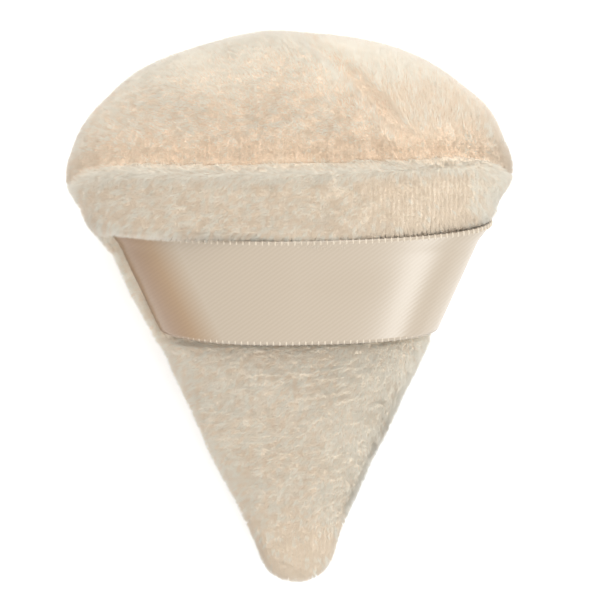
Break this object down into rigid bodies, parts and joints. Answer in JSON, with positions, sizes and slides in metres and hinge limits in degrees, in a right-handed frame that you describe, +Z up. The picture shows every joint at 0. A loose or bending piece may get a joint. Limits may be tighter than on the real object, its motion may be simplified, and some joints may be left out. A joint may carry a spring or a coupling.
{
  "type": "powder puff",
  "caption": "Plush fan-shaped powder puff with a domed wide end, a narrow round tip, a foam filling and a satin finger ribbon sewn across its face.",
  "frame": {"origin": "on the surface that the puff lies on, under the middle of its box", "axes": "+Z up out of the ribbon face, +Y from the tip towards the domed crown, +X to the right when the crown points away"},
  "size_m": [0.0636, 0.0804, 0.0241],
  "materials": {
    "plush": "short dense velour pile, champagne beige",
    "satin": "woven satin ribbon with looped edges, champagne beige",
    "foam": "soft open-cell foam, cream",
    "thread": "matt sewing thread, beige"
  },
  "bodies": {
    "root": {"front_panel": "plush", "back_panel": "plush", "crown_panel": "plush", "foam_core": "foam", "ribbon_strap": "satin", "side_seam_thread": "thread", "crown_seam_thread": "thread", "closing_stitch": "thread"}
  },
  "joints": []
}
